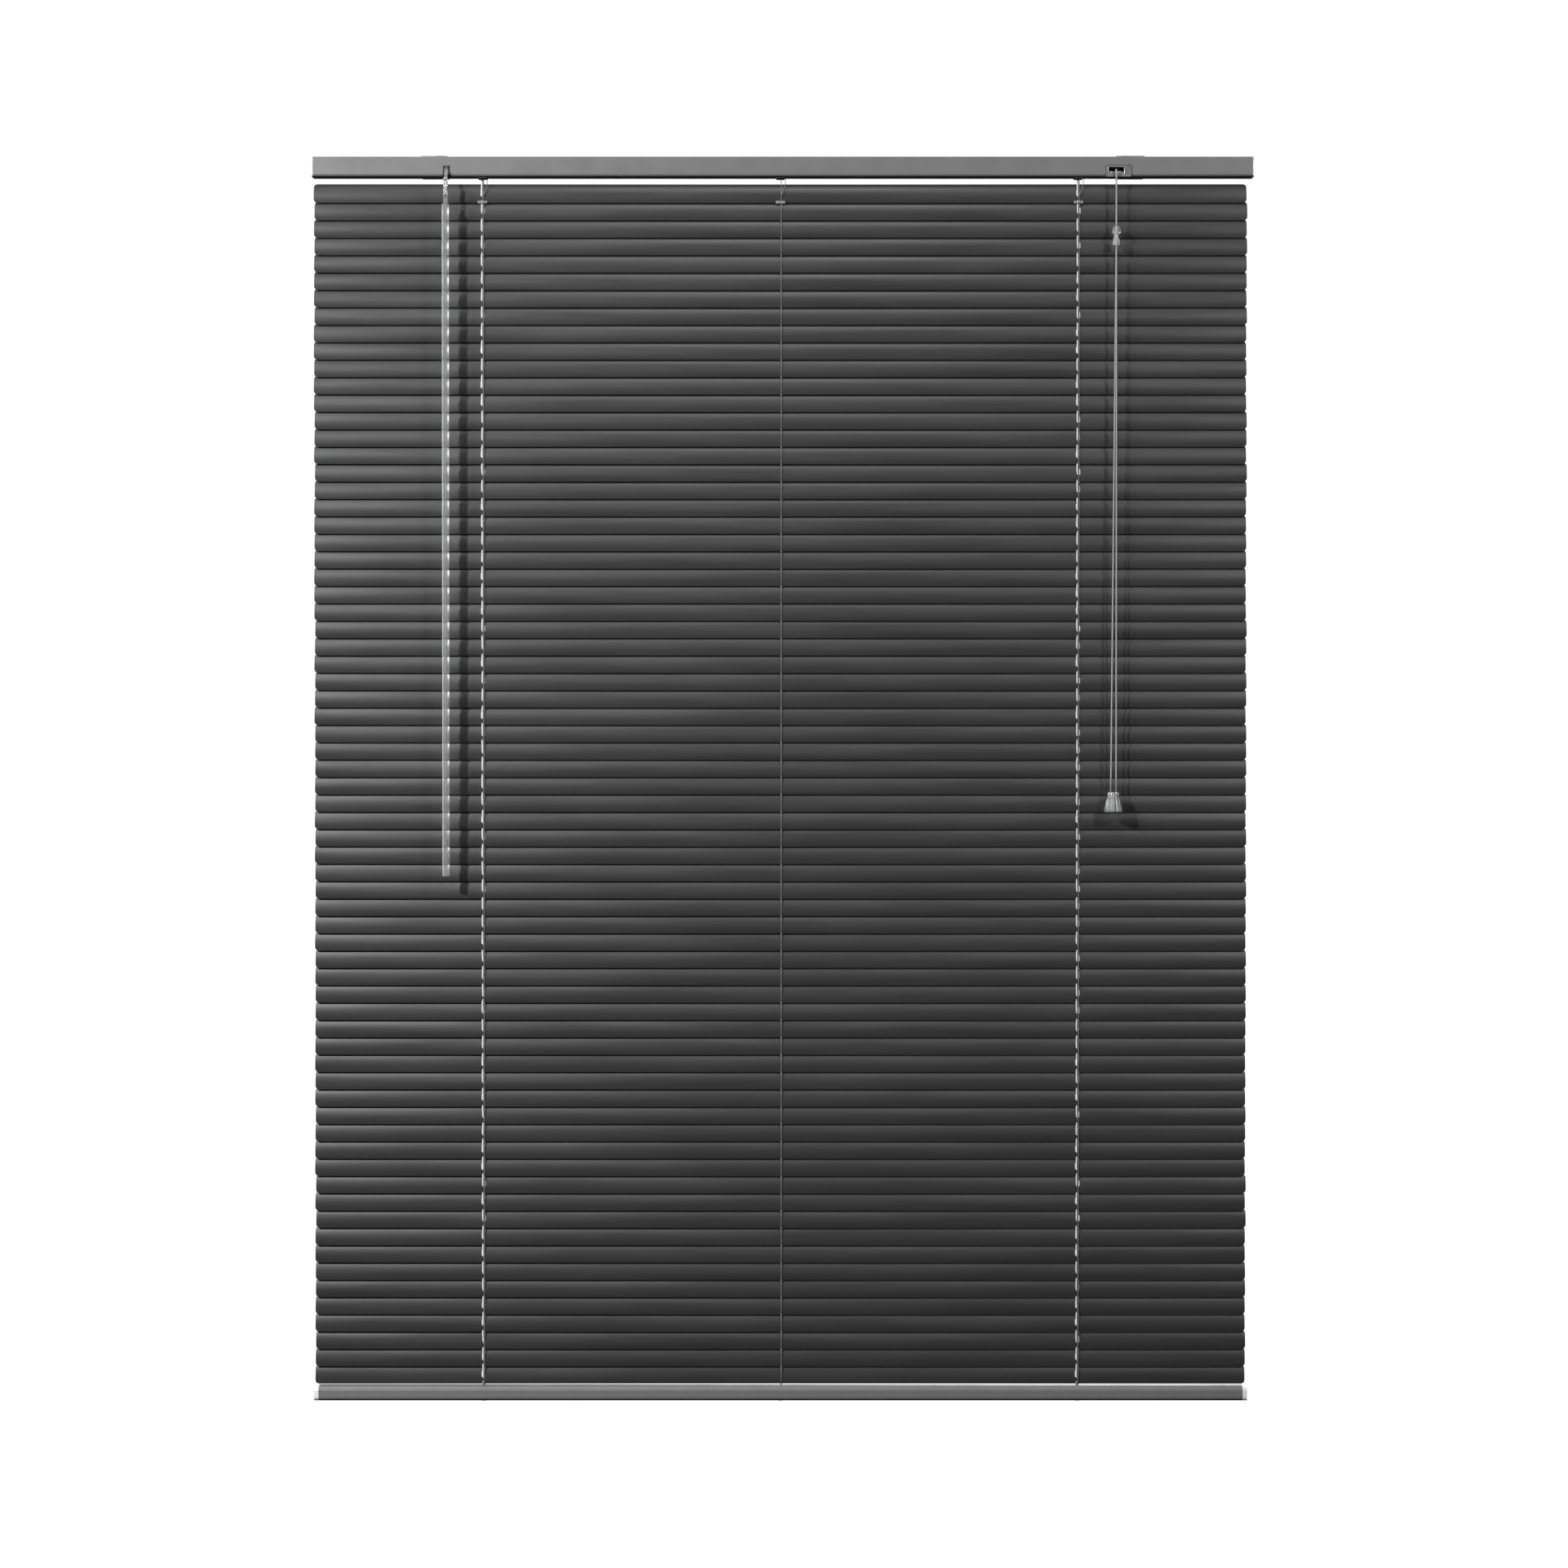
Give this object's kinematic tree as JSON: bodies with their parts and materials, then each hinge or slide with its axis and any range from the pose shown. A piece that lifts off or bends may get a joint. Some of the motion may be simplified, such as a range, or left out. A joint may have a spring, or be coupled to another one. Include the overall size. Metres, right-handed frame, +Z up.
{
  "type": "venetian blind",
  "caption": "Slatted window blind hanging from a head rail, with a tilt wand, pull cords and a weighted bottom rail.",
  "frame": {"origin": "on the wall plane, behind the middle of the head rail, level with its mid-height", "axes": "+X to the right seen from the room, +Y into the wall, +Z up"},
  "size_m": [1.2, 0.0475, 1.5895],
  "materials": {
    "rail_grey": "satin",
    "slat_charcoal": "satin",
    "end_plastic": "translucent, satin",
    "dark_plastic": "moulded",
    "grey_plastic": "moulded, satin",
    "clear_plastic": "clear, polished",
    "steel": "zinc plated",
    "cord": "braided",
    "ladder_string": "woven string"
  },
  "bodies": {
    "head_rail": {"head_rail": "rail_grey", "left_end_cap": "end_plastic", "right_end_cap": "end_plastic", "left_bracket": "steel", "right_bracket": "steel", "tilter_housing": "dark_plastic", "cord_lock_housing": "grey_plastic", "ladder_left": "ladder_string", "ladder_middle": "ladder_string", "ladder_right": "ladder_string"},
    "tilt_rod": {"tilt_rod": "steel", "ladder_drum_left": "dark_plastic", "ladder_drum_middle": "dark_plastic", "ladder_drum_right": "dark_plastic"},
    "tilter_worm": {"tilter_worm": "clear_plastic"},
    "wand_hook": {"wand_hook": "clear_plastic"},
    "tilt_wand": {"tilt_wand": "clear_plastic"},
    "cord_lock_roller": {"cord_lock_roller": "steel"},
    "bottom_rail": {"bottom_rail": "rail_grey", "bottom_cap_left": "end_plastic", "bottom_cap_right": "end_plastic"},
    "tassel": {"tassel": "clear_plastic", "cord_joiner": "clear_plastic", "pull_cord_left": "cord", "pull_cord_right": "cord"},
    "slats_01_02": {"slats_01_02": "slat_charcoal"},
    "slats_03_04": {"slats_03_04": "slat_charcoal"},
    "slats_05_06": {"slats_05_06": "slat_charcoal"},
    "slats_07_08": {"slats_07_08": "slat_charcoal"},
    "slats_09_10": {"slats_09_10": "slat_charcoal"},
    "slats_11_12": {"slats_11_12": "slat_charcoal"},
    "slats_13_14": {"slats_13_14": "slat_charcoal"},
    "slats_15_16": {"slats_15_16": "slat_charcoal"},
    "slats_17_18": {"slats_17_18": "slat_charcoal"},
    "slats_19_20": {"slats_19_20": "slat_charcoal"},
    "slats_21_22": {"slats_21_22": "slat_charcoal"},
    "slats_23_24": {"slats_23_24": "slat_charcoal"},
    "slats_25_26": {"slats_25_26": "slat_charcoal"},
    "slats_27_28": {"slats_27_28": "slat_charcoal"},
    "slats_29_30": {"slats_29_30": "slat_charcoal"},
    "slats_31_32": {"slats_31_32": "slat_charcoal"},
    "slats_33_34": {"slats_33_34": "slat_charcoal"},
    "slats_35_36": {"slats_35_36": "slat_charcoal"},
    "slats_37_38": {"slats_37_38": "slat_charcoal"},
    "slats_39_40": {"slats_39_40": "slat_charcoal"},
    "slats_41_42": {"slats_41_42": "slat_charcoal"},
    "slats_43_44": {"slats_43_44": "slat_charcoal"},
    "slats_45_46": {"slats_45_46": "slat_charcoal"},
    "slats_47_48": {"slats_47_48": "slat_charcoal"},
    "slats_49_50": {"slats_49_50": "slat_charcoal"},
    "slats_51_52": {"slats_51_52": "slat_charcoal"},
    "slats_53_54": {"slats_53_54": "slat_charcoal"},
    "slats_55_56": {"slats_55_56": "slat_charcoal"},
    "slats_57_58": {"slats_57_58": "slat_charcoal"},
    "slats_59_60": {"slats_59_60": "slat_charcoal"},
    "slats_61_62": {"slats_61_62": "slat_charcoal"},
    "slats_63_64": {"slats_63_64": "slat_charcoal"},
    "slats_65_66": {"slats_65_66": "slat_charcoal"},
    "slats_67_68": {"slats_67_68": "slat_charcoal"},
    "slat_69": {"slat_69": "slat_charcoal"}
  },
  "joints": [
    {"name": "tilt", "type": "hinge", "parent": "head_rail", "child": "tilt_rod", "pos_m": [0, -0.0143, 0], "axis": [-1, 0, 0], "range_deg": [0, 200]},
    {"name": "worm_spin", "type": "hinge", "parent": "head_rail", "child": "tilter_worm", "pos_m": [-0.428, -0.01925, 0.00495], "axis": [0, -0.7071, -0.7071], "range_deg": [0, 1800]},
    {"name": "wand_swing", "type": "hinge", "parent": "head_rail", "child": "wand_hook", "pos_m": [-0.428, -0.043, -0.0188], "axis": [-1, 0, 0], "range_deg": [0, 80]},
    {"name": "wand_spin", "type": "hinge", "parent": "wand_hook", "child": "tilt_wand", "pos_m": [-0.428, -0.043, -0.0425], "axis": [0, 0, -1], "range_deg": [0, 1800]},
    {"name": "lift", "type": "slide", "parent": "head_rail", "child": "bottom_rail", "axis": [0, 0, -1], "range_m": [-1.39, 0], "deforming": ["slats_01_02", "slats_03_04", "slats_05_06", "slats_07_08", "slats_09_10", "slats_11_12", "slats_13_14", "slats_15_16", "slats_17_18", "slats_19_20", "slats_21_22", "slats_23_24", "slats_25_26", "slats_27_28", "slats_29_30", "slats_31_32", "slats_33_34", "slats_35_36", "slats_37_38", "slats_39_40", "slats_41_42", "slats_43_44", "slats_45_46", "slats_47_48", "slats_49_50", "slats_51_52", "slats_53_54", "slats_55_56", "slats_57_58", "slats_59_60", "slats_61_62", "slats_63_64", "slats_65_66", "slats_67_68", "slat_69", "ladder_left", "ladder_middle", "ladder_right", "pull_cord_left", "pull_cord_right"]},
    {"name": "tassel_drop", "type": "slide", "parent": "head_rail", "child": "tassel", "axis": [0, 0, -1], "range_m": [0, 1.39]},
    {"name": "cord_lock", "type": "slide", "parent": "head_rail", "child": "cord_lock_roller", "axis": [0, 0.5, 0.866], "range_m": [0, 0.003]},
    {"name": "turn_01_02", "type": "hinge", "parent": "head_rail", "child": "slats_01_02", "pos_m": [-0.003, -0.0143, -0.0437], "axis": [-1, 0, 0], "range_deg": [0, 160]},
    {"name": "turn_03_04", "type": "hinge", "parent": "head_rail", "child": "slats_03_04", "pos_m": [-0.003, -0.0143, -0.0881], "axis": [-1, 0, 0], "range_deg": [0, 160]},
    {"name": "turn_05_06", "type": "hinge", "parent": "head_rail", "child": "slats_05_06", "pos_m": [-0.003, -0.0143, -0.1325], "axis": [-1, 0, 0], "range_deg": [0, 160]},
    {"name": "turn_07_08", "type": "hinge", "parent": "head_rail", "child": "slats_07_08", "pos_m": [-0.003, -0.0143, -0.1769], "axis": [-1, 0, 0], "range_deg": [0, 160]},
    {"name": "turn_09_10", "type": "hinge", "parent": "head_rail", "child": "slats_09_10", "pos_m": [-0.003, -0.0143, -0.2213], "axis": [-1, 0, 0], "range_deg": [0, 160]},
    {"name": "turn_11_12", "type": "hinge", "parent": "head_rail", "child": "slats_11_12", "pos_m": [-0.003, -0.0143, -0.2657], "axis": [-1, 0, 0], "range_deg": [0, 160]},
    {"name": "turn_13_14", "type": "hinge", "parent": "head_rail", "child": "slats_13_14", "pos_m": [-0.003, -0.0143, -0.3101], "axis": [-1, 0, 0], "range_deg": [0, 160]},
    {"name": "turn_15_16", "type": "hinge", "parent": "head_rail", "child": "slats_15_16", "pos_m": [-0.003, -0.0143, -0.3545], "axis": [-1, 0, 0], "range_deg": [0, 160]},
    {"name": "turn_17_18", "type": "hinge", "parent": "head_rail", "child": "slats_17_18", "pos_m": [-0.003, -0.0143, -0.3989], "axis": [-1, 0, 0], "range_deg": [0, 160]},
    {"name": "turn_19_20", "type": "hinge", "parent": "head_rail", "child": "slats_19_20", "pos_m": [-0.003, -0.0143, -0.4433], "axis": [-1, 0, 0], "range_deg": [0, 160]},
    {"name": "turn_21_22", "type": "hinge", "parent": "head_rail", "child": "slats_21_22", "pos_m": [-0.003, -0.0143, -0.4877], "axis": [-1, 0, 0], "range_deg": [0, 160]},
    {"name": "turn_23_24", "type": "hinge", "parent": "head_rail", "child": "slats_23_24", "pos_m": [-0.003, -0.0143, -0.5321], "axis": [-1, 0, 0], "range_deg": [0, 160]},
    {"name": "turn_25_26", "type": "hinge", "parent": "head_rail", "child": "slats_25_26", "pos_m": [-0.003, -0.0143, -0.5765], "axis": [-1, 0, 0], "range_deg": [0, 160]},
    {"name": "turn_27_28", "type": "hinge", "parent": "head_rail", "child": "slats_27_28", "pos_m": [-0.003, -0.0143, -0.6209], "axis": [-1, 0, 0], "range_deg": [0, 160]},
    {"name": "turn_29_30", "type": "hinge", "parent": "head_rail", "child": "slats_29_30", "pos_m": [-0.003, -0.0143, -0.6653], "axis": [-1, 0, 0], "range_deg": [0, 160]},
    {"name": "turn_31_32", "type": "hinge", "parent": "head_rail", "child": "slats_31_32", "pos_m": [-0.003, -0.0143, -0.7097], "axis": [-1, 0, 0], "range_deg": [0, 160]},
    {"name": "turn_33_34", "type": "hinge", "parent": "head_rail", "child": "slats_33_34", "pos_m": [-0.003, -0.0143, -0.7541], "axis": [-1, 0, 0], "range_deg": [0, 160]},
    {"name": "turn_35_36", "type": "hinge", "parent": "head_rail", "child": "slats_35_36", "pos_m": [-0.003, -0.0143, -0.7985], "axis": [-1, 0, 0], "range_deg": [0, 160]},
    {"name": "turn_37_38", "type": "hinge", "parent": "head_rail", "child": "slats_37_38", "pos_m": [-0.003, -0.0143, -0.8429], "axis": [-1, 0, 0], "range_deg": [0, 160]},
    {"name": "turn_39_40", "type": "hinge", "parent": "head_rail", "child": "slats_39_40", "pos_m": [-0.003, -0.0143, -0.8873], "axis": [-1, 0, 0], "range_deg": [0, 160]},
    {"name": "turn_41_42", "type": "hinge", "parent": "head_rail", "child": "slats_41_42", "pos_m": [-0.003, -0.0143, -0.9317], "axis": [-1, 0, 0], "range_deg": [0, 160]},
    {"name": "turn_43_44", "type": "hinge", "parent": "head_rail", "child": "slats_43_44", "pos_m": [-0.003, -0.0143, -0.9761], "axis": [-1, 0, 0], "range_deg": [0, 160]},
    {"name": "turn_45_46", "type": "hinge", "parent": "head_rail", "child": "slats_45_46", "pos_m": [-0.003, -0.0143, -1.0205], "axis": [-1, 0, 0], "range_deg": [0, 160]},
    {"name": "turn_47_48", "type": "hinge", "parent": "head_rail", "child": "slats_47_48", "pos_m": [-0.003, -0.0143, -1.0649], "axis": [-1, 0, 0], "range_deg": [0, 160]},
    {"name": "turn_49_50", "type": "hinge", "parent": "head_rail", "child": "slats_49_50", "pos_m": [-0.003, -0.0143, -1.1093], "axis": [-1, 0, 0], "range_deg": [0, 160]},
    {"name": "turn_51_52", "type": "hinge", "parent": "head_rail", "child": "slats_51_52", "pos_m": [-0.003, -0.0143, -1.1537], "axis": [-1, 0, 0], "range_deg": [0, 160]},
    {"name": "turn_53_54", "type": "hinge", "parent": "head_rail", "child": "slats_53_54", "pos_m": [-0.003, -0.0143, -1.1981], "axis": [-1, 0, 0], "range_deg": [0, 160]},
    {"name": "turn_55_56", "type": "hinge", "parent": "head_rail", "child": "slats_55_56", "pos_m": [-0.003, -0.0143, -1.2425], "axis": [-1, 0, 0], "range_deg": [0, 160]},
    {"name": "turn_57_58", "type": "hinge", "parent": "head_rail", "child": "slats_57_58", "pos_m": [-0.003, -0.0143, -1.2869], "axis": [-1, 0, 0], "range_deg": [0, 160]},
    {"name": "turn_59_60", "type": "hinge", "parent": "head_rail", "child": "slats_59_60", "pos_m": [-0.003, -0.0143, -1.3313], "axis": [-1, 0, 0], "range_deg": [0, 160]},
    {"name": "turn_61_62", "type": "hinge", "parent": "head_rail", "child": "slats_61_62", "pos_m": [-0.003, -0.0143, -1.3757], "axis": [-1, 0, 0], "range_deg": [0, 160]},
    {"name": "turn_63_64", "type": "hinge", "parent": "head_rail", "child": "slats_63_64", "pos_m": [-0.003, -0.0143, -1.4201], "axis": [-1, 0, 0], "range_deg": [0, 160]},
    {"name": "turn_65_66", "type": "hinge", "parent": "head_rail", "child": "slats_65_66", "pos_m": [-0.003, -0.0143, -1.4645], "axis": [-1, 0, 0], "range_deg": [0, 160]},
    {"name": "turn_67_68", "type": "hinge", "parent": "head_rail", "child": "slats_67_68", "pos_m": [-0.003, -0.0143, -1.5089], "axis": [-1, 0, 0], "range_deg": [0, 160]},
    {"name": "turn_69", "type": "hinge", "parent": "head_rail", "child": "slat_69", "pos_m": [-0.003, -0.0143, -1.5422], "axis": [-1, 0, 0], "range_deg": [0, 160]}
  ],
  "couplings": [
    {"joint": "worm_spin", "follows": "tilt", "ratio": 9},
    {"joint": "wand_spin", "follows": "tilt", "ratio": 9},
    {"joint": "tassel_drop", "follows": "lift", "ratio": -1},
    {"joint": "turn_01_02", "follows": "tilt", "ratio": 0.8},
    {"joint": "turn_03_04", "follows": "tilt", "ratio": 0.8},
    {"joint": "turn_05_06", "follows": "tilt", "ratio": 0.8},
    {"joint": "turn_07_08", "follows": "tilt", "ratio": 0.8},
    {"joint": "turn_09_10", "follows": "tilt", "ratio": 0.8},
    {"joint": "turn_11_12", "follows": "tilt", "ratio": 0.8},
    {"joint": "turn_13_14", "follows": "tilt", "ratio": 0.8},
    {"joint": "turn_15_16", "follows": "tilt", "ratio": 0.8},
    {"joint": "turn_17_18", "follows": "tilt", "ratio": 0.8},
    {"joint": "turn_19_20", "follows": "tilt", "ratio": 0.8},
    {"joint": "turn_21_22", "follows": "tilt", "ratio": 0.8},
    {"joint": "turn_23_24", "follows": "tilt", "ratio": 0.8},
    {"joint": "turn_25_26", "follows": "tilt", "ratio": 0.8},
    {"joint": "turn_27_28", "follows": "tilt", "ratio": 0.8},
    {"joint": "turn_29_30", "follows": "tilt", "ratio": 0.8},
    {"joint": "turn_31_32", "follows": "tilt", "ratio": 0.8},
    {"joint": "turn_33_34", "follows": "tilt", "ratio": 0.8},
    {"joint": "turn_35_36", "follows": "tilt", "ratio": 0.8},
    {"joint": "turn_37_38", "follows": "tilt", "ratio": 0.8},
    {"joint": "turn_39_40", "follows": "tilt", "ratio": 0.8},
    {"joint": "turn_41_42", "follows": "tilt", "ratio": 0.8},
    {"joint": "turn_43_44", "follows": "tilt", "ratio": 0.8},
    {"joint": "turn_45_46", "follows": "tilt", "ratio": 0.8},
    {"joint": "turn_47_48", "follows": "tilt", "ratio": 0.8},
    {"joint": "turn_49_50", "follows": "tilt", "ratio": 0.8},
    {"joint": "turn_51_52", "follows": "tilt", "ratio": 0.8},
    {"joint": "turn_53_54", "follows": "tilt", "ratio": 0.8},
    {"joint": "turn_55_56", "follows": "tilt", "ratio": 0.8},
    {"joint": "turn_57_58", "follows": "tilt", "ratio": 0.8},
    {"joint": "turn_59_60", "follows": "tilt", "ratio": 0.8},
    {"joint": "turn_61_62", "follows": "tilt", "ratio": 0.8},
    {"joint": "turn_63_64", "follows": "tilt", "ratio": 0.8},
    {"joint": "turn_65_66", "follows": "tilt", "ratio": 0.8},
    {"joint": "turn_67_68", "follows": "tilt", "ratio": 0.8},
    {"joint": "turn_69", "follows": "tilt", "ratio": 0.8}
  ]
}
